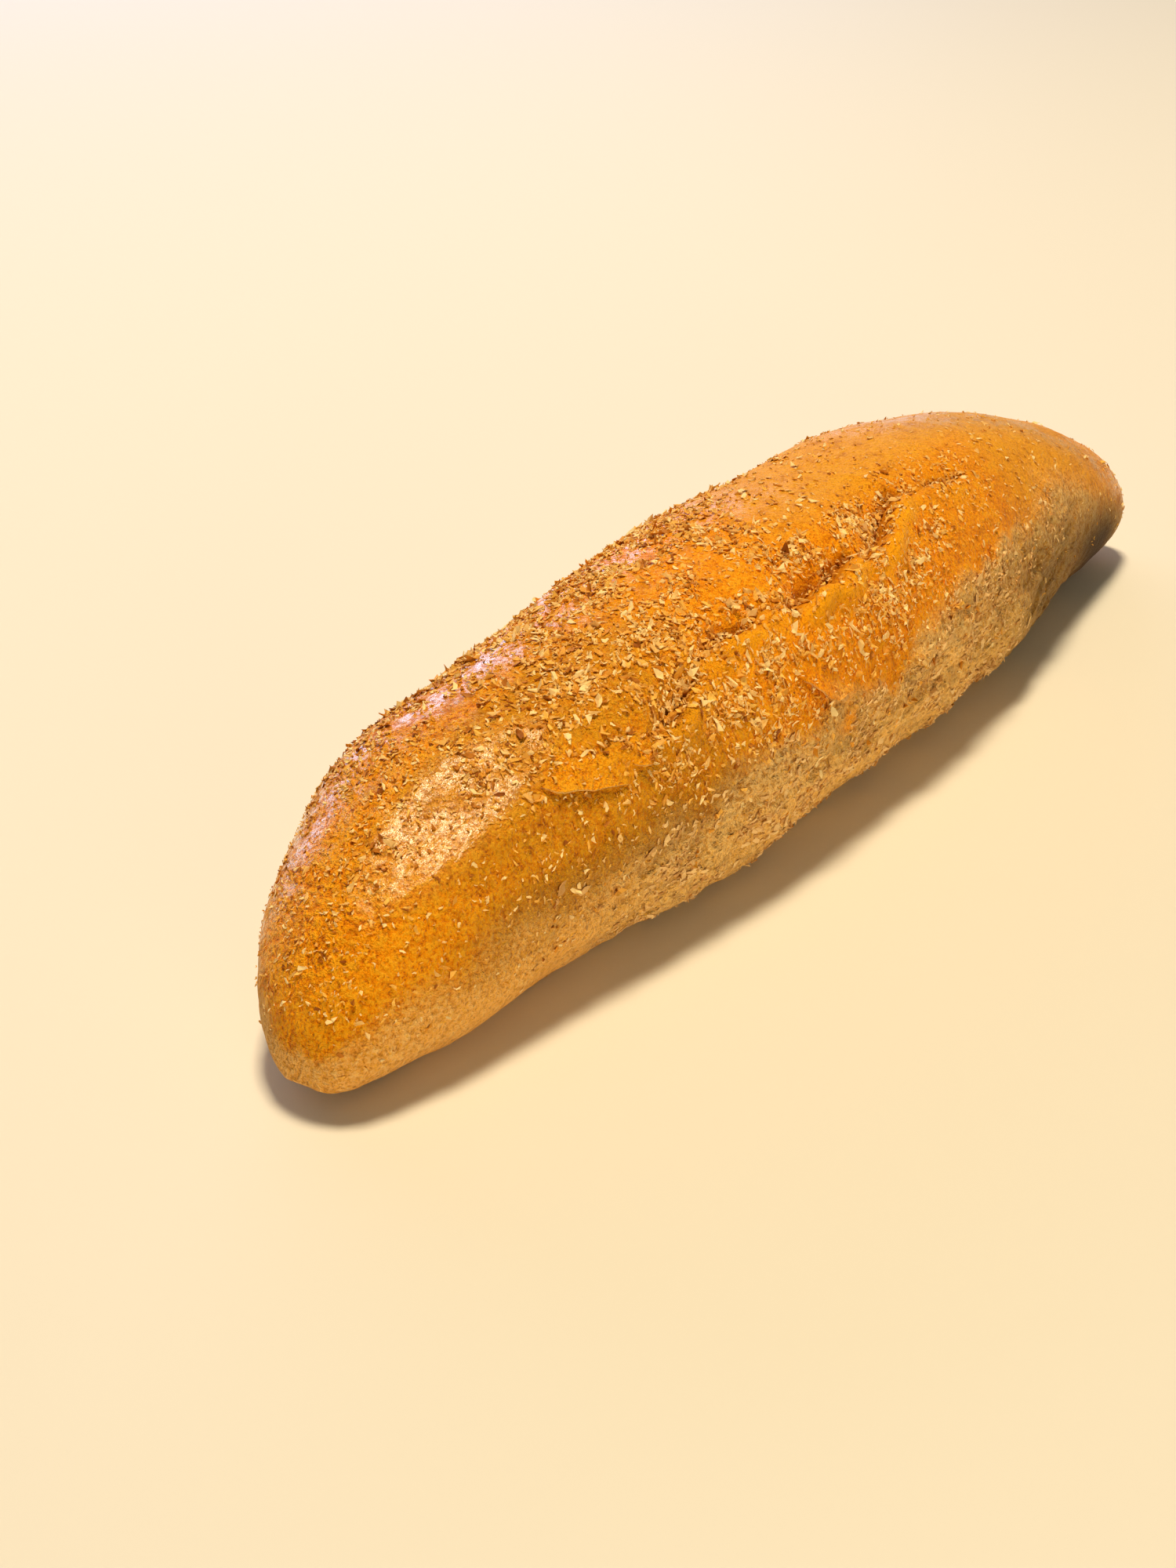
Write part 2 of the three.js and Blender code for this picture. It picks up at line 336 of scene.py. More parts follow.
def beside_creases(points, angle, middle, reach):
    """1 along a line that runs beside the deepest creases, at a distance in mm from their bottom."""
    share = np.zeros(len(points))
    for deep, _, offset in crease_shapes(points[:, 0], angle, points):
        share = np.maximum(share, np.clip(deep / DEEP_CREASE, 0, 1) * bell(offset - middle, reach))
    return share


def creased_share(points, angle):
    """1 at the bottom of the deepest creases."""
    return beside_creases(points, angle, 0.4, 1.4)


def lip_share(points, angle):
    """1 on the bare lower lip of the creases."""
    return beside_creases(points, angle, -4.5, 3.2)


def bare_crown_share(points, angle):
    """1 on the crown from the middle to the hooked end, where little bran stuck."""
    return smoothstep(angle, 66, 82) * smoothstep(points[:, 0], -20, 6)


def branned_share(points, angle):
    """How thickly bran lies on the crust."""
    x = points[:, 0]
    front = np.interp(
        x,
        (-150, -125, -105, -85, -62, 0, 30, 55, 90),
        (56, 68, 56, 24, 13, 18, 32, 50, 62),
    )
    back = np.interp(x, (-150, -60, 60, 150), (40, 24, 30, 55))
    low_edge = np.where(angle > 90, back, front)
    along = np.interp(
        x,
        (-154, -140, -122, -104, -70, -20, 20, 42, 62, 85, 110, 154),
        (0.35, 0.40, 0.55, 0.80, 1.0, 1.0, 0.85, 0.55, 0.32, 0.16, 0.08, 0.05),
    )
    clumps = np.clip(0.78 + 0.55 * lumps(points, 14, 21) + 1.0 * lumps(points, 5, 22), 0.06, 2.2)
    thick = along * (0.1 + 0.9 * smoothstep(side_angle(angle), low_edge - 10, low_edge + 16)) * clumps
    bare = np.maximum(lip_share(points, angle), bare_crown_share(points, angle))
    for _, route in FLAPS:
        offset, along_flap = follow_route(x, angle, route)
        bare = np.maximum(bare, taper(along_flap) * bell(offset - 2, 5))
    return thick * (1 - 0.8 * bare)


def relief(points, angle):
    """Height of the crust over the smooth loaf, in mm."""
    x = points[:, 0]
    height = 0.45 * lumps(points, 26, 1) + 0.22 * lumps(points, 8, 2)
    for place, turn, long, wide, high in BULGES:
        height += high * bell(x - place, long) * bell(turn_apart(angle, turn), wide)
    for deep, slope, offset in crease_shapes(x, angle, points):
        wall = np.where(offset > 0, np.exp(-np.abs(offset) / slope), bell(offset, CREASE_WALL))
        height += deep * (LIP_SHARE * bell(offset + LIP_OFFSET, LIP_REACH) - wall)
    offset, along = follow_route(x, angle, FOLD_ROUTE)
    height += FOLD_HEIGHT * taper(along) * bell(offset, np.where(offset > 0, *FOLD_SLOPES))
    over = (points - facet_spot) @ facet_out + FACET_DEPTH
    height -= FACET_ROUND * np.log1p(np.exp(np.minimum(over / FACET_ROUND, 30)))
    for high, route in FLAPS:
        offset, along = follow_route(x, angle, route)
        torn_edge = -TEAR_DEPTH * bell(offset, TEAR_REACH)
        rise = np.where(offset > 0, np.exp(-np.abs(offset) / FLAP_SLOPE), torn_edge)
        height += high * taper(along) * rise
    torn = torn_share(points, angle)
    stripes = points * STRIPES_DRAWN
    step = 0.55 * smoothstep(lumps(stripes, 4, 44), -0.05, 0.1)
    step += 0.6 * smoothstep(lumps(stripes, 6.5, 45), -0.05, 0.08) - 0.3
    height += torn * (0.6 * lumps(points, 9, 42) + 0.45 * lumps(stripes, 2.2, 43) + step)
    height -= torn * PIT_DEPTH * pitted_share(points)
    bran = np.clip(branned_share(points, angle), 0, 1)
    return height + BRAN_BED * bran * lumps(points, 1.8, 51) + FINE_LUMPS * lumps(points, 1.5, 52)


def crust_points(share, angle):
    """Points of the finished crust. The base stays flat on the baking sheet."""
    smooth = smooth_points(share, angle)
    ends = smoothstep(1 - np.abs(share), 0, 0.01)
    points = smooth + outward(smooth_points, share, angle) * (ends * relief(smooth, angle))[:, None]
    points[:, 2] = np.maximum(points[:, 2], 0)
    return points


STATIONS, SPOKES = 500, 196
SPOKE_DENSITY = (  # angle, and how closely the lines of the mesh lie there
    (-90, 0.35), (-62, 0.35), (-46, 1.3), (40, 1.3), (60, 1.0),
    (130, 1.0), (150, 1.1), (226, 1.1), (242, 0.35), (270, 0.35),
)
# Stations lie closer together towards both ends.
steps = np.arange(1, STATIONS) / STATIONS
stations = 0.5 * (2 * steps - 1) + 0.5 * np.sin(np.pi * (steps - 0.5))
turn_marks = np.linspace(-90, 270, 721)
spoke_count = np.cumsum(np.interp(turn_marks, *zip(*SPOKE_DENSITY)))
spoke_count = (spoke_count - spoke_count[0]) / (spoke_count[-1] - spoke_count[0])
spokes = np.interp(np.arange(SPOKES) / SPOKES, spoke_count, turn_marks)
share = np.r_[np.repeat(stations, SPOKES), -1, 1]
angle = np.r_[np.tile(spokes, len(stations)), 0, 0]
crust_skin = crust_points(share, angle)
loaf_middle = (crust_skin[:, 1].max() + crust_skin[:, 1].min()) / 2
crust_skin[:, 1] -= loaf_middle
rings = np.arange(len(stations) * SPOKES).reshape(len(stations), SPOKES)
near, far = rings[:-1], rings[1:]
quads = np.stack([near, far, np.roll(far, -1, 1), np.roll(near, -1, 1)], axis=-1).reshape(-1, 4)
blunt_tip, hooked_tip = len(share) - 2, len(share) - 1
tip_fans = [(blunt_tip, a, b) for a, b in zip(rings[0], np.roll(rings[0], -1))]
tip_fans += [(hooked_tip, b, a) for a, b in zip(rings[-1], np.roll(rings[-1], -1))]


def add_piece(name, points, faces, material, smooth):
    """A mesh object from points in mm, on the loaf's body."""
    mesh = bpy.data.meshes.new(name)
    mesh.from_pydata((points * MM).tolist(), [], faces)
    mesh.polygons.foreach_set("use_smooth", np.full(len(mesh.polygons), smooth))
    mesh.materials.append(material)
    mesh.update()
    piece = bpy.data.objects.new(name, mesh)
    bpy.context.scene.collection.objects.link(piece)
    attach(piece, "root")
    return piece


def add_measure(piece, name, values):
    """A number kept at each point of a piece, for its material."""
    measure = piece.data.attributes.new(name, "FLOAT", "POINT")
    measure.data.foreach_set("value", np.asarray(values, np.float32))


def linear(code):
    """Linear red, green, blue and alpha of an sRGB hex colour."""
    parts = np.array([int(code[i : i + 2], 16) for i in (1, 3, 5)]) / 255
    return (*np.where(parts <= 0.04045, parts / 12.92, ((parts + 0.055) / 1.055) ** 2.4), 1.0)


def add_node(tree, kind, inputs=None, stops=(), **settings):
    """A shader node with its settings. Each of its inputs is given a value or another node's socket."""
    node = tree.nodes.new(kind)
    for name, value in settings.items():
        setattr(node, name, value)
    for socket, value in (inputs or {}).items():
        if isinstance(value, bpy.types.NodeSocket):
            tree.links.new(value, node.inputs[socket])
        else:
            node.inputs[socket].default_value = value
    for i, (place, code) in enumerate(stops):
        stop = node.color_ramp.elements[i] if i < 2 else node.color_ramp.elements.new(place)
        stop.position, stop.color = place, linear(code)
    return node


def per_mm(size):
    """Noise scale for lumps of a size in mm, on coordinates in metres."""
    return 1 / (size * MM)


# Bread crust, browned by the oven: a dry, finely pored and crinkled skin with a soft shine on the crown.
# It gives a golden to orange brown with a fine pale and dark speckle all over, and a dull straw tan where
# it stayed pale. The finest pores, about 0.2 mm, are drawn at 0.38 mm, so that they show.
# Its colour also holds painted shade, painted highlights, painted bounce light and a painted sheen.
PORE, FLECK, CRINKLE, FIBRE, BLOTCH, MOTTLE, PATCH = 0.38, 0.55, 1.0, 1.3, 3.5, 5.0, 30.0
FIBRE_RISE, FIBRE_STRETCH = 20, 0.3
# Tints of painted shade in the pits of the torn crust and at the bottom of the creases.
PIT_SHADE_TINT, CREASE_SHADE_TINT = 0.3, 0.75
TONE_BASE, TONE_CRINKLED = -0.565, 0.15
EDGE_SPECKLE, EDGE_BLEND = 1.6, 0.6
CRUST_MEASURES = (
    "browned", "torn", "creased", "pitted", "toasted", "olive", "glazed", "shine", "stretched",
    "bleached", "deepened", "dulled", "yellowed", "warmed", "floured", "crinkled", "thin_edge",
)
crust = bpy.data.materials.new("browned bread crust")
crust.use_nodes = True
tree = crust.node_tree
tree.nodes.clear()
place = add_node(tree, "ShaderNodeTexCoord").outputs["Object"]
rise = (0, np.radians(-FIBRE_RISE), 0)
inputs = {"Vector": place, "Rotation": rise, "Scale": (FIBRE_STRETCH, 1, 1)}
along_loaf = add_node(tree, "ShaderNodeMapping", inputs).outputs["Vector"]
measure = {}
for name in CRUST_MEASURES:
    measure[name] = add_node(tree, "ShaderNodeAttribute", attribute_name=name).outputs["Fac"]
pattern = {}
for name, vector, size, detail, roughness in (
    ("grain", place, PORE, 2.0, 0.6),
    ("flecks", place, FLECK, 1.0, 0.5),
    ("crinkle", place, CRINKLE, 3.0, 0.65),
    ("fibres", along_loaf, FIBRE, 2.0, 0.5),
    ("blotches", place, BLOTCH, 3.0, 0.5),
    ("mottle", place, MOTTLE, 4.0, 0.6),
    ("patches", place, PATCH, 2.0, 0.5),
):
    inputs = {"Vector": vector, "Scale": per_mm(size), "Detail": detail, "Roughness": roughness}
    pattern[name] = add_node(tree, "ShaderNodeTexNoise", inputs).outputs["Fac"]
spots = {}
# Each spot starts at one value of its pattern and is full at another.
for name, source, start, full, least, most in (
    ("dull patch", "mottle", 0.42, 0.58, 0.0, 1.0),
    # The crinkle spots are painted shade in the dips of the crinkle bump and a painted highlight on its
    # ridges.
    ("dark pore", "crinkle", 0.47, 0.34, 0.0, 0.38),
    ("pale ridge", "crinkle", 0.53, 0.66, 0.0, 0.6),
    ("dark blotch", "blotches", 0.56, 0.70, 0.0, 0.5),
    ("light blotch", "blotches", 0.44, 0.32, 0.0, 0.4),
    ("flour", "fibres", 0.2, 0.7, 1.3, 0.6),
    ("pale speck", "flecks", 0.58, 0.70, 0.0, 0.5),
    ("scorch", "flecks", 0.41, 0.31, 0.0, 0.35),
    ("pit", "fibres", 0.57, 0.65, 0.0, 1.0),
    ("uneven gloss", "mottle", 0.40, 0.56, 0.12, 1.0),
    ("sparkle", "crinkle", 0.40, 0.56, 0.25, 1.5),
):
    inputs = {
        "Value": pattern[source],
        "From Min": start,
        "From Max": full,
        "To Min": least,
        "To Max": most,
    }
    spots[name] = add_node(tree, "ShaderNodeMapRange", inputs).outputs["Result"]
# These spots show only where the crust is of their kind.
for name, kind in (
    ("dull patch", "dulled"),
    ("flour", "floured"),
    ("pit", "torn"),
    ("uneven gloss", "shine"),
):
    inputs = {0: spots[name], 1: measure[kind]}
    spots[name] = add_node(tree, "ShaderNodeMath", inputs, operation="MULTIPLY").outputs[0]
inputs = {0: spots["uneven gloss"], 1: spots["sparkle"]}
gloss = add_node(tree, "ShaderNodeMath", inputs, operation="MULTIPLY").outputs[0]
inputs = {0: spots["pit"], 1: measure["pitted"]}
hollow = add_node(tree, "ShaderNodeMath", inputs, operation="MAXIMUM").outputs[0]
# The pits of the torn crust are darkened as painted shade.
pit_shade = add_node(tree, "ShaderNodeMath", {0: hollow, 1: PIT_SHADE_TINT}, operation="MULTIPLY").outputs[0]
# The bottoms of the deepest creases are darkened as painted shade.
inputs = {0: measure["creased"], 1: CREASE_SHADE_TINT}
fold = add_node(tree, "ShaderNodeMath", inputs, operation="MULTIPLY").outputs[0]
inputs = {0: pattern["crinkle"], 1: 0.5}
crinkle_height = add_node(tree, "ShaderNodeMath", inputs, operation="SUBTRACT").outputs[0]
inputs = {0: crinkle_height, 1: measure["crinkled"]}
crinkle_height = add_node(tree, "ShaderNodeMath", inputs, operation="MULTIPLY").outputs[0]
inputs = {0: measure["crinkled"], 1: TONE_CRINKLED, 2: TONE_BASE}
tone = add_node(tree, "ShaderNodeMath", inputs, operation="MULTIPLY_ADD").outputs[0]
# The crinkle height also darkens the dips and lightens the ridges of the crinkle bump: painted shade and
# highlight.
for source, weight in (
    (pattern["grain"], 1.0),
    (crinkle_height, 1.4),
    (pattern["mottle"], 0.8),
    (pattern["patches"], 0.4),
):
    inputs = {0: source, 1: weight, 2: tone}
    tone = add_node(tree, "ShaderNodeMath", inputs, operation="MULTIPLY_ADD").outputs[0]
golden = add_node(
    tree,
    "ShaderNodeValToRGB",
    {"Fac": tone},
    stops=((0.05, "#924600"), (1.0, "#faae1a"), (0.38, "#d67600"), (0.6, "#f09200"), (0.8, "#f79e04")),
).outputs["Color"]
straw = add_node(
    tree,
    "ShaderNodeValToRGB",
    {"Fac": tone},
    stops=((0.1, "#946424"), (0.95, "#f6ce88"), (0.4, "#cc9040"), (0.65, "#e6b060")),
).outputs["Color"]
for tint, code in (
    # Painted bounce light low on the torn sides.
    (measure["bleached"], "#fcca70"),
    # Painted bounce light on the pale crust towards the blunt end.
    (measure["warmed"], "#f6a832"),
    (spots["dull patch"], "#967c46"),
    # Painted shade in the crinkle dips and painted highlight on the crinkle ridges.
    (spots["dark pore"], "#a66a22"),
    (spots["pale ridge"], "#ffd888"),
):
    inputs = {0: tint, 6: straw, 7: linear(code)}
    straw = add_node(tree, "ShaderNodeMix", inputs, data_type="RGBA").outputs[2]
for tint, code in (
    (measure["yellowed"], "#dca42e"),
    (measure["deepened"], "#c07000"),
    (spots["dark blotch"], "#b06200"),
    (spots["light blotch"], "#f2b022"),
    # The flour spots over the hooked end are partly a painted sheen.
    (spots["flour"], "#b8945e"),
):
    inputs = {0: tint, 6: golden, 7: linear(code)}
    golden = add_node(tree, "ShaderNodeMix", inputs, data_type="RGBA").outputs[2]
inputs = {0: pattern["grain"], 1: EDGE_SPECKLE, 2: -EDGE_SPECKLE / 2}
edge = add_node(tree, "ShaderNodeMath", inputs, operation="MULTIPLY_ADD").outputs[0]
edge = add_node(tree, "ShaderNodeMath", {0: measure["browned"], 1: edge}, operation="ADD").outputs[0]
inputs = {"Value": edge, "From Min": -EDGE_BLEND, "From Max": EDGE_BLEND}
brown_side = add_node(tree, "ShaderNodeMapRange", inputs).outputs["Result"]
colour = add_node(tree, "ShaderNodeMix", {0: brown_side, 6: straw, 7: golden}, data_type="RGBA").outputs[2]
for tint, code in (
    # Painted shade along the shoulder towards the blunt end.
    (measure["olive"], "#926814"),
    # Painted highlight on the facet.
    (measure["glazed"], "#f2c052"),
    # Painted highlight on the crease lips, which are also paler stretched crust.
    (measure["stretched"], "#f8aa10"),
    (spots["pale speck"], "#f4b82c"),
    (spots["scorch"], "#854606"),
    # Painted shade in the pits of the torn crust.
    (pit_shade, "#7c4c16"),
    # Painted shade at the bottom of the creases.
    (fold, "#843c02"),
    # Painted shade on the low side near the hooked end and under its tip.
    (measure["toasted"], "#341e00"),
    # Painted highlight along the flap rims.
    (measure["thin_edge"], "#f8cd7c"),
):
    inputs = {0: tint, 6: colour, 7: linear(code)}
    colour = add_node(tree, "ShaderNodeMix", inputs, data_type="RGBA").outputs[2]
rubble = add_node(
    tree,
    "ShaderNodeTexNoise",
    {"Vector": along_loaf, "Scale": per_mm(FIBRE), "Detail": 3.0, "Roughness": 0.6},
    noise_type="RIDGED_MULTIFRACTAL",
).outputs["Fac"]
rubble = add_node(tree, "ShaderNodeMath", {0: rubble, 1: measure["torn"]}, operation="MULTIPLY").outputs[0]
inputs = {0: pattern["fibres"], 1: measure["glazed"]}
wrinkles = add_node(tree, "ShaderNodeMath", inputs, operation="MULTIPLY").outputs[0]
under = {}
for height, strength, depth, inward in (  # depth is in mm
    (pattern["mottle"], 0.35, 0.5, False),
    (hollow, 0.8, 0.5, True),
    (rubble, 1.0, 0.8, False),
    (wrinkles, 1.0, 1.3, False),
    (pattern["grain"], 0.5, 0.22, False),
):
    inputs = {"Height": height, "Strength": strength, "Distance": depth * MM, **under}
    under = {"Normal": add_node(tree, "ShaderNodeBump", inputs, invert=inward).outputs["Normal"]}
# The glaze lies over the crinkles without following them, so that its shine stays whole.
glaze = under["Normal"]
inputs = {"Height": crinkle_height, "Strength": 1.0, "Distance": 0.7 * MM, "Normal": glaze}
fine = add_node(tree, "ShaderNodeBump", inputs).outputs["Normal"]
skin = add_node(
    tree,
    "ShaderNodeBsdfPrincipled",
    {
        "Base Color": colour,
        "Roughness": 0.6,
        "Normal": fine,
        "IOR": 1.45,
        "Specular IOR Level": 0.06,
        "Sheen Weight": 0.12,
        "Sheen Roughness": 0.35,
        "Sheen Tint": linear("#e8d8d0"),
        "Coat Weight": gloss,
        "Coat Roughness": 0.24,
        "Coat IOR": 1.5,
        "Coat Normal": glaze,
    },
)
add_node(tree, "ShaderNodeOutputMaterial", {"Surface": skin.outputs[0]})


def add_crust_measures(piece, share, angle):
    """How browned, torn and shiny the crust is at each point of a piece, and where light and shade are
    painted on it.
    """
    smooth = smooth_points(share, angle)
    to_blunt = -smooth[:, 0]
    torn = torn_share(smooth, angle)
    floured = flour_and_sheen_share(smooth, angle)
    # Some of these measures are painted light: shade, highlights, bounce light and sheen.
    measures = {
        "browned": np.maximum(browned_ramp(smooth, angle), 2 * sheet_share(smooth, angle) - 1),
        "torn": torn,
        "creased": creased_share(smooth, angle),
        "pitted": torn * pitted_share(smooth),
        "toasted": hooked_end_shade_share(smooth, angle),
        "olive": 0.5 * painted_shoulder_shade_share(smooth, angle),
        "glazed": 0.2 * glazed_share(smooth),
        "shine": np.maximum(shine_share(smooth, angle), 0.8 * floured),
        # The crease lips are paler stretched crust, painted lighter still as a highlight.
        "stretched": 0.9 * lip_share(smooth, angle),
        "bleached": 0.6 * low_bounce_light_share(smooth, angle),
        "deepened": 0.2 * deepened_share(smooth, angle),
        "dulled": 0.36 * dulled_share(smooth, angle),
        "yellowed": 0.55 * yellowed_share(smooth, angle),
        # Painted bounce light on the pale crust towards the blunt end.
        "warmed": 0.5 * smoothstep(to_blunt, 70, 110),
        "floured": 0.3 * floured,
        "crinkled": 1 + smoothstep(to_blunt, 20, 80),
    }
    for name, values in measures.items():
        add_measure(piece, name, values)


loaf = add_piece("loaf_crust", crust_skin, quads.tolist() + tip_fans, crust, True)
add_crust_measures(loaf, share, angle)
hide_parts("loaf")


# Crust flaps: thin blisters of crust that tore along one edge as the dough swelled, and dried standing
# a little proud of the loaf. Each is a strip of crust that grows out of the crown side of its tear.
FLAP_THICK, FLAP_HANG = 0.35, 1.1
FLAP_ROWS = ((4.0, -0.4), (2.4, 0.0), (0.9, 0.2))  # distance from the tear and height over the crust
FLAP_RIM, FLAP_SINK = 0.25, 0.9
FLAP_SPACING, FLAP_WANDER = 0.5, 0.5
FLAP_SPAN = 6e-3  # share of the loaf over which the crust's slope is taken
# How strongly the rim of each flap is painted lighter, as a painted highlight.
RIM_HIGHLIGHT = 0.75


def on_crust(share, angle, span):
    """Points on the finished crust, and the directions out of it."""
    return crust_points(share, angle) - (0, loaf_middle, 0), outward(crust_points, share, angle, span)


flap_points, flap_faces, flap_smooth, flap_edge, flap_places = [], [], [], [], []
for high, route in FLAPS:
    corners = np.array(route, float) * (1, MM_PER_DEGREE)
    passed = np.r_[0, np.cumsum(np.hypot(*np.diff(corners, axis=0).T))]
    marks = np.linspace(0, 1, int(passed[-1] / FLAP_SPACING))
    line = np.stack([np.interp(marks * passed[-1], passed, axis) for axis in corners.T], axis=1)
    along = np.pad(line[:, :1], ((0, 0), (0, 2)))
    line += FLAP_WANDER * np.stack([lumps(along, 5, 71), lumps(along, 5, 72)], axis=1)
    run = np.gradient(line, axis=0)
    to_crown = np.stack([-run[:, 1], run[:, 0]], axis=1) / np.hypot(*run.T)[:, None]
    sink = FLAP_SINK * (1 - taper(marks))
    rows, row_places = [], []
    for apart, rise in FLAP_ROWS:
        row_line = line + apart * to_crown
        row_share, row_angle = 2 * row_line[:, 0] / LENGTH, row_line[:, 1] / MM_PER_DEGREE
        row_places.append(np.stack([row_share, row_angle], axis=1))
        row, up = on_crust(row_share, row_angle, FLAP_SPAN)
        rows.append(row + (rise - sink)[:, None] * up)
    ahead = (rows[2] - rows[1]) / (FLAP_ROWS[1][0] - FLAP_ROWS[2][0])
    hang = (FLAP_ROWS[2][0] + FLAP_HANG * (1 + 0.6 * lumps(along, 4, 73))) * taper(marks)
    curl = 0.4 * high * taper(marks) * (1 + lumps(along, 6, 74))
    rim_share = 1 - FLAP_RIM / np.maximum(hang, 2 * FLAP_RIM)
    rows.append(rows[2] + ahead * (hang * rim_share)[:, None] + up * (curl * rim_share**2)[:, None])
    rows.append(rows[2] + ahead * hang[:, None] + up * curl[:, None])
    top = np.stack(rows)
    both = np.stack([top, top - FLAP_THICK * up])
    start = sum(len(part) for part in flap_points)
    index = start + np.arange(both[..., 0].size).reshape(both.shape[:3])
    flap_points.append(both.reshape(-1, 3))
    for sheet, turned in ((index[0], False), (index[1], True)):
        cells = np.stack([sheet[:-1, :-1], sheet[1:, :-1], sheet[1:, 1:], sheet[:-1, 1:]], axis=-1)
        cells = cells.reshape(-1, 4)
        flap_faces += (cells[:, ::-1] if turned else cells).tolist()
        flap_smooth += [True] * len(cells)
    rim_top = np.r_[index[0][0, :-1], index[0][:-1, -1], index[0][-1, :0:-1], index[0][:0:-1, 0]]
    rim_low = rim_top + both[0, ..., 0].size
    flap_faces += np.stack([rim_top, np.roll(rim_top, -1), np.roll(rim_low, -1), rim_low], axis=1).tolist()
    flap_smooth += [False] * len(rim_top)
    row_edge = np.zeros(both.shape[:3])
    row_edge[:, -1] = taper(marks)
    flap_edge.append(row_edge.ravel())
    row_places += [row_places[-1]] * 2
    flap_places += [np.concatenate(row_places)] * 2
flap_points = np.concatenate(flap_points)
flaps = add_piece("crust_flaps", flap_points, flap_faces, crust, flap_smooth)
add_crust_measures(flaps, *np.concatenate(flap_places).T)
# Painted highlight along the rim of each flap.
add_measure(flaps, "thin_edge", RIM_HIGHLIGHT * np.concatenate(flap_edge))


# Bran: flakes of wheat husk from the mill, pressed on to the wet dough and baked on to its crust.
# Each is a thin curled chip with torn edges, from straw to red brown. They lie thickest on the crown
# and gather in the creases. Many stand a little proud of the crust at one edge.
BRAN_SEED = 7
BRAN_CELL = 0.7
BRAN_COVER, CREASE_COVER = 0.42, 0.4  # chance of a flake in a cell, where bran lies thick
BRAN_SPAN = 4e-3  # share of the loaf over which the crust's slope is taken
BRAN_UNEVEN, BRAN_LONG = 0.42, (0.5, 3.4)  # spread of the lengths, and the shortest and longest
BRAN_NARROW, BRAN_THICK = (0.28, 0.62), (0.1, 0.18)  # width as a share of length, and thickness
BRAN_LIFT, CREASE_LIFT, BRAN_TILT = (0.03, 0.28), 0.7, 0.3
FLAKE_CORNERS, CORNER_DRIFT = 6, 0.6
CORNER_REACH = (0.5, 0.65)  # least reach, and how much more at most
FLAKE_BOW, FLAKE_TWIST, FLAKE_CRUMPLE = 0.8, 0.9, 0.17
OVER_FLOOR = 0.05  # the least height of a flake over the floor


def scattered_places(along, turns, cell, rng):
    """One place drawn in each cell of a grid on the crust: share, angle and point of the smooth loaf."""
    cell_x, cell_turn = np.meshgrid(along, turns)
    share = 2 * (cell_x + cell * rng.random(cell_x.shape)).ravel() / LENGTH
    angle = (cell_turn + cell / MM_PER_DEGREE * rng.random(cell_x.shape)).ravel()
    return share, angle, smooth_points(share, angle)


rng = np.random.default_rng(BRAN_SEED)
bran_along, bran_turns = np.arange(-153, 152, BRAN_CELL), np.arange(-14, 194, BRAN_CELL / MM_PER_DEGREE)
bran_share, bran_angle, bran_smooth = scattered_places(bran_along, bran_turns, BRAN_CELL, rng)
thickness = BRAN_COVER * branned_share(bran_smooth, bran_angle)
thickness += CREASE_COVER * creased_share(bran_smooth, bran_angle)
kept = rng.random(len(bran_share)) < thickness
bran_share, bran_angle = bran_share[kept], bran_angle[kept]
bran_x = bran_share * LENGTH / 2
bran_places, bran_up = on_crust(bran_share, bran_angle, BRAN_SPAN)
bran_gathered = creased_share(bran_smooth[kept], bran_angle)
bran_median = np.interp(bran_x, (-140, -110, -80, 10, 50), (0.95, 1.15, 1.85, 1.85, 1.3))
bran_long = np.clip(bran_median * rng.lognormal(0, BRAN_UNEVEN, len(bran_share)), *BRAN_LONG)


def lying_ways(up, heading, tilt, rng):
    """Directions of thin things that lie unevenly on the crust: their length, width and face."""
    count = len(up)
    ahead = heading - up * (heading * up).sum(1, keepdims=True)
    ahead /= np.linalg.norm(ahead, axis=1, keepdims=True)
    aside = np.cross(up, ahead)
    lean, roll = (tilt * rng.normal(size=(2, count)))[:, :, None]
    ahead = ahead + up * lean
    ahead /= np.linalg.norm(ahead, axis=1, keepdims=True)
    aside = aside + up * roll
    aside -= ahead * (aside * ahead).sum(1, keepdims=True)
    aside /= np.linalg.norm(aside, axis=1, keepdims=True)
    return ahead, aside, np.cross(ahead, aside)


def repeated_faces(pattern, count, size):
    """Faces of a number of like things in one mesh, each with the same number of points."""
    starts = size * np.arange(count)[:, None]
    faces = []
    for corners in pattern:
        faces += (starts + np.array(corners)).tolist()
    return faces


def crumpled_flakes(places, up, heading, long, wide, thick, tilt, lift, corners, rng):
    """Thin crumpled flakes as one joined mesh: points, faces and the number of points to a flake."""
    count = len(places)
    ahead, aside, face = lying_ways(up, heading, tilt, rng)
    rim = 2 * np.pi * (np.arange(corners) + CORNER_DRIFT * rng.random((count, corners))) / corners
    reach = CORNER_REACH[0] + CORNER_REACH[1] * rng.random((count, corners))
    u = np.pad(long[:, None] / 2 * reach * np.cos(rim), ((0, 0), (1, 0)))
    v = np.pad(wide[:, None] / 2 * reach * np.sin(rim), ((0, 0), (1, 0)))
    bow, twist = rng.normal(size=(2, count, 1))
    curl = (FLAKE_BOW * bow * u**2 + FLAKE_TWIST * twist * u * v) / long[:, None]
    curl += FLAKE_CRUMPLE * wide[:, None] * rng.normal(size=u.shape)
    sheets = []
    for side in (0.5, -0.5):
        w = curl + (side * thick + lift)[:, None]
        sheets.append(
            places[:, None]
            + u[..., None] * ahead[:, None]
            + v[..., None] * aside[:, None]
            + w[..., None] * face[:, None]
        )
    points = np.concatenate(sheets, axis=1).reshape(-1, 3)
    points[:, 2] = np.maximum(points[:, 2], OVER_FLOOR)
    below = corners + 1
    flake = []
    for i in range(1, below):
        after = i % corners + 1
        flake += [(0, i, after), (below, below + after, below + i), (i, below + i, below + after, after)]
    return points, repeated_faces(flake, count, 2 * below), 2 * below


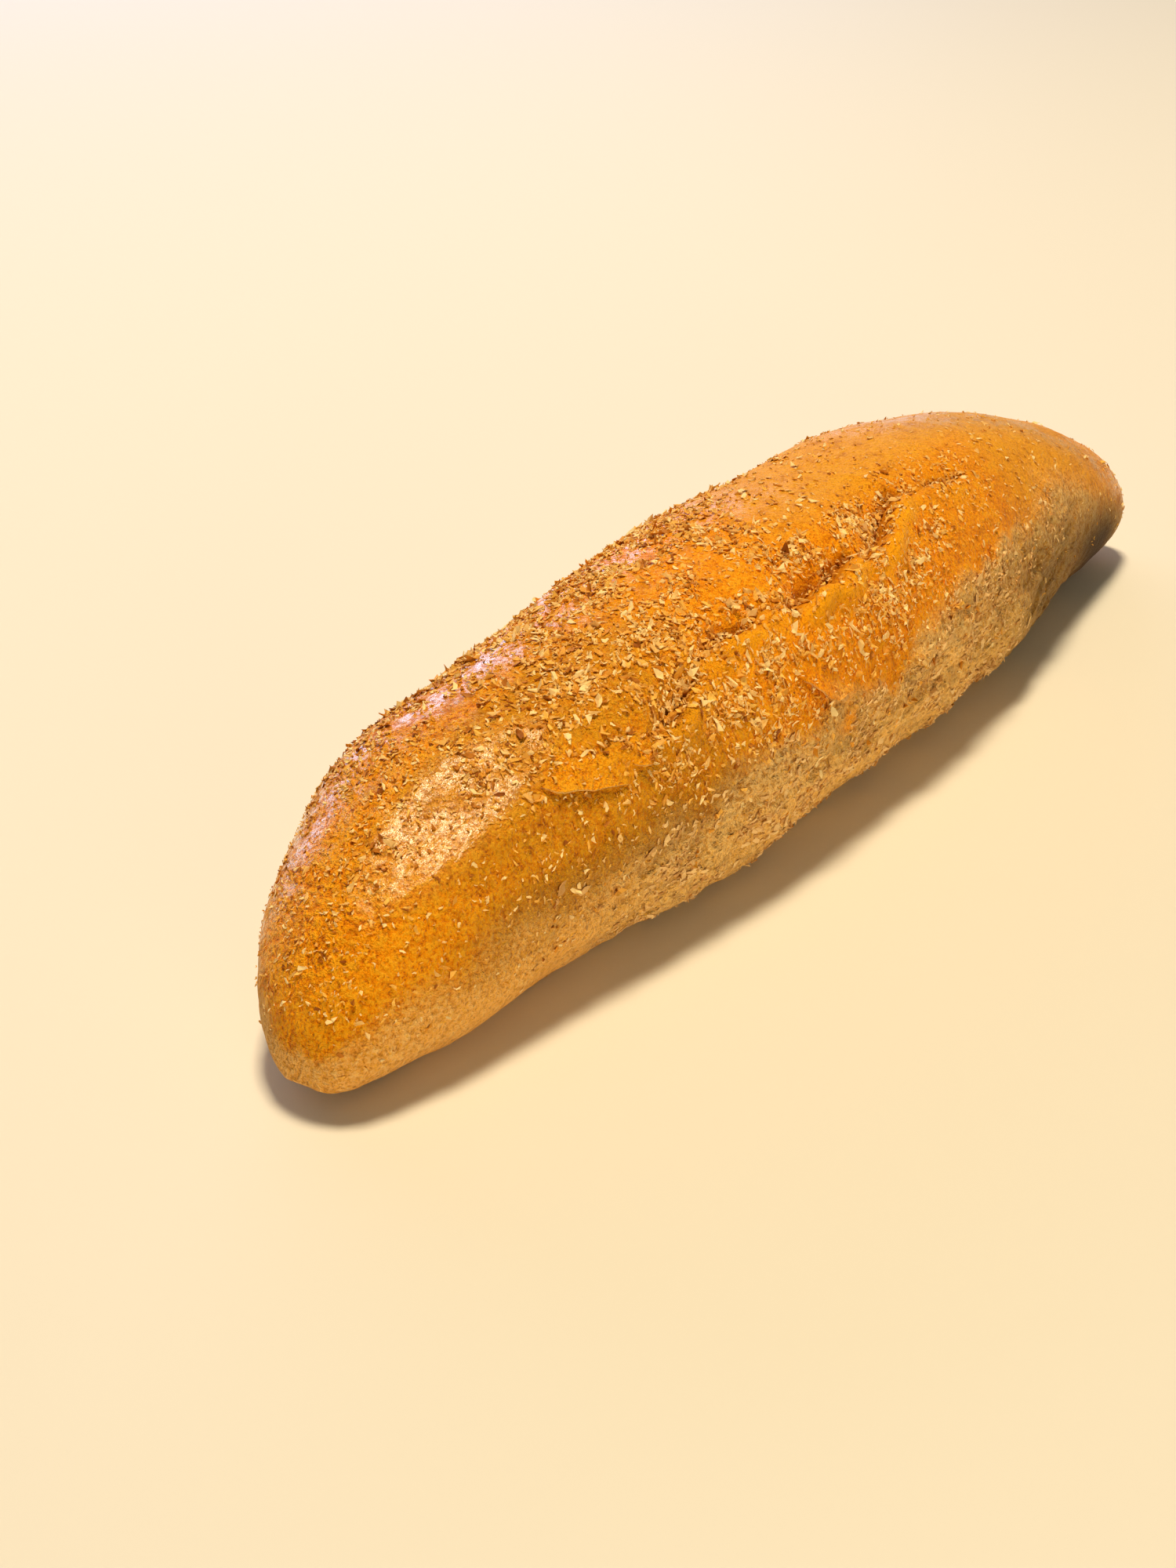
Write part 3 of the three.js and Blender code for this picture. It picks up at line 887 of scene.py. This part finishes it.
# Wheat husk, dried and toasted: thin matt flakes with a faint waxy shine on the outside of the husk.
# Straw ones are the inner layers, tan and red brown ones the outer skin of the grain.
BRAN_KINDS = (
    ("bran_straw", "#dea544", "#fce2a2"),
    ("bran_tan", "#d48c22", "#f4c05a"),
    ("bran_brown", "#8a480c", "#be7824"),
)
brown_part = np.interp(bran_x, (-140, -95, -70), (0.28, 0.2, 0.06))
bran_kind = np.where(rng.random(len(bran_share)) < brown_part, 2, rng.integers(0, 2, len(bran_share)))
for kind, (name, deep_code, light_code) in enumerate(BRAN_KINDS):
    chosen = bran_kind == kind
    count = chosen.sum()
    husk = bpy.data.materials.new(name.replace("_", " ") + " husk")
    husk.use_nodes = True
    tree = husk.node_tree
    tree.nodes.clear()
    shade = add_node(tree, "ShaderNodeAttribute", attribute_name="shade").outputs["Fac"]
    place = add_node(tree, "ShaderNodeTexCoord").outputs["Object"]
    streak = add_node(tree, "ShaderNodeTexNoise", {"Vector": place, "Scale": per_mm(0.7)}).outputs["Fac"]
    inputs = {0: streak, 1: 0.5, 2: shade}
    tone = add_node(tree, "ShaderNodeMath", inputs, operation="MULTIPLY_ADD").outputs[0]
    husk_colour = add_node(
        tree, "ShaderNodeValToRGB", {"Fac": tone}, stops=((0.2, deep_code), (1.0, light_code))
    ).outputs["Color"]
    husk_skin = add_node(
        tree,
        "ShaderNodeBsdfPrincipled",
        {"Base Color": husk_colour, "Roughness": 0.55, "IOR": 1.45, "Specular IOR Level": 0.18},
    )
    add_node(tree, "ShaderNodeOutputMaterial", {"Surface": husk_skin.outputs[0]})
    long = bran_long[chosen]
    points, faces, flake_points = crumpled_flakes(
        bran_places[chosen],
        bran_up[chosen],
        rng.normal(size=(count, 3)),
        long,
        long * rng.uniform(*BRAN_NARROW, count),
        rng.uniform(*BRAN_THICK, count),
        BRAN_TILT,
        rng.uniform(*BRAN_LIFT, count) + CREASE_LIFT * bran_gathered[chosen] * rng.random(count),
        FLAKE_CORNERS,
        rng,
    )
    bran = add_piece(name, points, faces, husk, False)
    add_measure(bran, "shade", np.repeat(rng.random(count), flake_points))


# Bran curls: narrow slivers and the finest husk, which the mill shaved off the grain.
# They curl as they dry, stick all over the browned crust and lie thickest among the flakes.
CURL_SEED = 5
CURL_CELL = 0.8
CURL_COVER, CURL_DUSTING = 0.24, 0.3
CURL_MEDIAN, CURL_UNEVEN, CURL_LONG = 0.95, 0.38, (0.45, 2.4)
CURL_NARROW, CURL_LEAST_WIDE, CURL_THICK = (0.18, 0.4), 0.14, (0.06, 0.11)
CURL_LIFT, CURL_TILT = (0.03, 0.28), 0.35
SLIVER_STOPS = np.array((-1, -0.5, 0, 0.5, 1))
SLIVER_POINTS = 14  # a tip at each end, and three rings of four points
SLIVER_BEND, SLIVER_BOW, SLIVER_ROLL = 0.16, 0.14, 0.8
SLIVER_WOBBLE = (0.12, 0.05, 0.04)  # along, across and up


def curled_slivers(places, up, heading, long, wide, thick, tilt, lift, rng):
    """Thin curled slivers with pointed ends, as one joined mesh: points, faces and points to a sliver."""
    count, stops = len(places), SLIVER_STOPS
    ahead, aside, face = (way[:, None] for way in lying_ways(up, heading, tilt, rng))
    bend, bow, twist = rng.normal(size=(3, count, 1))
    shift, swerve, hump = (size * rng.normal(size=(count, len(stops))) for size in SLIVER_WOBBLE)
    u = long[:, None] / 2 * (stops + shift)
    v = long[:, None] * (SLIVER_BEND * bend * stops**2 + swerve)
    w = long[:, None] * (SLIVER_BOW * bow * (stops**2 - 0.4) + hump) + lift[:, None]
    middle = places[:, None] + u[..., None] * ahead + v[..., None] * aside + w[..., None] * face
    roll = (SLIVER_ROLL * twist * stops[1:-1])[..., None]
    across = aside * np.cos(roll) + face * np.sin(roll)
    through = face * np.cos(roll) - aside * np.sin(roll)
    half = (wide[:, None] / 2 * rng.uniform(0.6, 1.3, (count, 3)))[..., None]
    deep = thick[:, None, None] / 2
    corners = []
    for a, b in ((1, 1), (-1, 1), (-1, -1), (1, -1)):
        corners.append(middle[:, 1:-1] + a * half * across + b * deep * through)
    rings = np.stack(corners, axis=2).reshape(count, SLIVER_POINTS - 2, 3)
    points = np.concatenate([middle[:, :1], rings, middle[:, -1:]], axis=1).reshape(-1, 3)
    points[:, 2] = np.maximum(points[:, 2], OVER_FLOOR)
    sliver = []  # the rings start at points 1, 5 and 9, and the second tip is the last point
    for i in range(4):
        after = (i + 1) % 4
        sliver += [(0, 1 + after, 1 + i), (SLIVER_POINTS - 1, 9 + i, 9 + after)]
        sliver += [(at + i, at + after, at + 4 + after, at + 4 + i) for at in (1, 5)]
    return points, repeated_faces(sliver, count, SLIVER_POINTS), SLIVER_POINTS


curl_rng = np.random.default_rng(CURL_SEED)
curl_along, curl_turns = np.arange(-153, 152, CURL_CELL), np.arange(-12, 192, CURL_CELL / MM_PER_DEGREE)
curl_share, curl_angle, curl_smooth = scattered_places(curl_along, curl_turns, CURL_CELL, curl_rng)
curl_clumps = np.clip(0.8 + 0.7 * lumps(curl_smooth, 7, 81) + 0.5 * lumps(curl_smooth, 3, 82), 0.1, 1.8)
curl_most = np.interp(
    curl_smooth[:, 0], (-150, -100, -65, -40, 20, 70, 110), (0.32, 0.28, 0.5, 0.8, 0.7, 0.35, 0.15)
)
curl_low = 0.12 + 0.88 * smoothstep(browned_ramp(curl_smooth, curl_angle), -1.0, 1.0)
curl_bare = 0.75 * bare_crown_share(curl_smooth, curl_angle)
curl_bare = np.maximum(0.6 * glazed_share(curl_smooth), curl_bare)
dusting = CURL_DUSTING * curl_clumps * curl_most * curl_low * (1 - curl_bare)
kept = curl_rng.random(len(curl_share)) < dusting + CURL_COVER * branned_share(curl_smooth, curl_angle)
curl_places, curl_up = on_crust(curl_share[kept], curl_angle[kept], BRAN_SPAN)
curl_long = np.clip(curl_rng.lognormal(np.log(CURL_MEDIAN), CURL_UNEVEN, len(curl_places)), *CURL_LONG)
kind_draw = curl_rng.random(len(curl_places))
for name, husk_name, chosen in (
    ("bran_curls_straw", "bran straw husk", kind_draw < 0.5),
    ("bran_curls_tan", "bran tan husk", kind_draw >= 0.5),
):
    count = chosen.sum()
    long = curl_long[chosen]
    points, faces, sliver_points = curled_slivers(
        curl_places[chosen],
        curl_up[chosen],
        curl_rng.normal(size=(count, 3)),
        long,
        np.maximum(long * curl_rng.uniform(*CURL_NARROW, count), CURL_LEAST_WIDE),
        curl_rng.uniform(*CURL_THICK, count),
        CURL_TILT,
        curl_rng.uniform(*CURL_LIFT, count),
        curl_rng,
    )
    curls = add_piece(name, points, faces, bpy.data.materials[husk_name], False)
    add_measure(curls, "shade", np.repeat(curl_rng.random(count), sliver_points))


# Torn crumb: shreds of pale bread along the torn sides, pulled out where the swelling dough split.
# Each is a thin sliver that still hangs on at its root and lies along the loaf.
SHRED_SEED = 11
SHRED_CELL = 1.0
SHRED_COVER = 0.55
SHRED_SPAN = 6e-3
SHRED_MEDIAN, SHRED_UNEVEN, SHRED_LONG = 1.4, 0.45, (0.6, 4.0)
SHRED_NARROW, SHRED_THICK = (0.2, 0.42), (0.12, 0.22)
SHRED_LIFT, SHRED_TILT = (0.0, 0.25), 0.3
SHRED_HEADING, SHRED_STRAY = np.array((1.0, 0.0, 0.45)), 0.4
shred_rng = np.random.default_rng(SHRED_SEED)
front_turns = np.arange(-44, 34, SHRED_CELL / MM_PER_DEGREE)
shred_along, shred_turns = np.arange(-120, 95, SHRED_CELL), np.r_[front_turns, 180 - front_turns]
shred_share, shred_angle, shred_smooth = scattered_places(shred_along, shred_turns, SHRED_CELL, shred_rng)
shred_clumps = np.clip(0.5 + 1.1 * lumps(shred_smooth, 8, 61), 0.05, 1.4)
# No shreds lie where the low side near the hooked end is painted in shade.
shred_clumps *= 1 - np.minimum(2 * hooked_end_shade_share(shred_smooth, shred_angle), 1)
thickness = SHRED_COVER * torn_share(shred_smooth, shred_angle) * shred_clumps
kept = shred_rng.random(len(shred_share)) < thickness
count = kept.sum()
shred_places, shred_up = on_crust(shred_share[kept], shred_angle[kept], SHRED_SPAN)
shred_long = np.clip(shred_rng.lognormal(np.log(SHRED_MEDIAN), SHRED_UNEVEN, count), *SHRED_LONG)
points, faces, sliver_points = curled_slivers(
    shred_places,
    shred_up,
    SHRED_HEADING + SHRED_STRAY * shred_rng.normal(size=(count, 3)),
    shred_long,
    shred_long * shred_rng.uniform(*SHRED_NARROW, count),
    shred_rng.uniform(*SHRED_THICK, count),
    SHRED_TILT,
    shred_rng.uniform(*SHRED_LIFT, count),
    shred_rng,
)
# Bread crumb, dried at the surface: matt and pale, some shreds a little darker than others.
crumb = bpy.data.materials.new("dried bread crumb")
crumb.use_nodes = True
tree = crumb.node_tree
tree.nodes.clear()
shade = add_node(tree, "ShaderNodeAttribute", attribute_name="shade").outputs["Fac"]
place = add_node(tree, "ShaderNodeTexCoord").outputs["Object"]
pores = add_node(tree, "ShaderNodeTexNoise", {"Vector": place, "Scale": per_mm(0.8)}).outputs["Fac"]
tone = add_node(tree, "ShaderNodeMath", {0: pores, 1: 0.5, 2: shade}, operation="MULTIPLY_ADD").outputs[0]
crumb_colour = add_node(
    tree, "ShaderNodeValToRGB", {"Fac": tone}, stops=((0.2, "#b88038"), (1.0, "#f0cc8c"))
).outputs["Color"]
crumb_skin = add_node(tree, "ShaderNodeBsdfPrincipled", {"Base Color": crumb_colour, "Roughness": 0.9})
add_node(tree, "ShaderNodeOutputMaterial", {"Surface": crumb_skin.outputs[0]})
shreds = add_piece("crumb_shreds", points, faces, crumb, False)
add_measure(shreds, "shade", np.repeat(shred_rng.random(count), sliver_points))


# Studio: a pale matt floor in pale surroundings, with a soft light high above and softer ones in front
# and behind. The camera looks down along the loaf from in front of its blunt end.
FLOOR_HALF = 6.0
FLOOR_DROP = 0.0002  # just under the loaf's base, so that the two don't share a plane
floor_mesh = bpy.data.meshes.new("floor")
floor_corners = []
for a, b in ((-1, -1), (1, -1), (1, 1), (-1, 1)):
    floor_corners.append((a * FLOOR_HALF, b * FLOOR_HALF, -FLOOR_DROP))
floor_mesh.from_pydata(floor_corners, [], [(0, 1, 2, 3)])
floor = bpy.data.objects.new("floor", floor_mesh)
bpy.context.scene.collection.objects.link(floor)
# Matt wall paint, rolled on: an even pale ground without reflections.
floor_paint = bpy.data.materials.new("pale matt paint")
floor_paint.use_nodes = True
floor_paint.node_tree.nodes["Principled BSDF"].inputs["Base Color"].default_value = linear("#e4e2d8")
floor_paint.node_tree.nodes["Principled BSDF"].inputs["Roughness"].default_value = 0.7
floor_mesh.materials.append(floor_paint)

LIGHTS = (  # name, where it hangs, where it points, width and height in metres, spread, power, colour
    ("key", (0.3, 0.26, 2.1), (0, 0, 0.03), (0.4, 0.4), 180, 49.0, "#ffe8c2"),
    ("front", (-0.5, -0.6, 0.12), (-0.07, 0, 0.02), (0.4, 0.2), 50, 0.24, "#ffe2b6"),
    ("behind", (1.2, 1.7, 0.45), (0, 0, 0.03), (2.4, 0.7), 180, 21.0, "#ccd6ff"),
)
for name, where, aim, (wide, high), spread, power, code in LIGHTS:
    lamp = bpy.data.lights.new(name, "AREA")
    lamp.shape, lamp.size, lamp.size_y = "RECTANGLE", wide, high
    lamp.energy, lamp.color = power, linear(code)[:3]
    lamp.spread = np.radians(spread)
    light = bpy.data.objects.new(name, lamp)
    light.location = where
    light.visible_camera = False
    light.rotation_euler = (Vector(aim) - Vector(where)).to_track_quat("-Z", "Y").to_euler()
    bpy.context.scene.collection.objects.link(light)
world = bpy.data.worlds.new("pale surroundings")
bpy.context.scene.world = world
world.use_nodes = True
world.node_tree.nodes["Background"].inputs["Color"].default_value = linear("#f4e4c4")
world.node_tree.nodes["Background"].inputs["Strength"].default_value = 0.17
bpy.context.scene.view_settings.view_transform = "Standard"

CAMERA_PLACE = (-0.39818, -0.22199, 0.22874)
CAMERA_TURN, CAMERA_DIP, CAMERA_ROLL = -56.426, 27.4, -0.92
camera_data = bpy.data.cameras.new("camera")
camera_data.sensor_width, camera_data.lens = 36.0, 54.0
camera = bpy.data.objects.new("camera", camera_data)
camera.matrix_world = (
    Matrix.Translation(CAMERA_PLACE)
    @ Matrix.Rotation(np.radians(CAMERA_TURN), 4, "Z")
    @ Matrix.Rotation(np.radians(90 - CAMERA_DIP), 4, "X")
    @ Matrix.Rotation(np.radians(CAMERA_ROLL), 4, "Z")
)
bpy.context.scene.collection.objects.link(camera)
bpy.context.scene.camera = camera
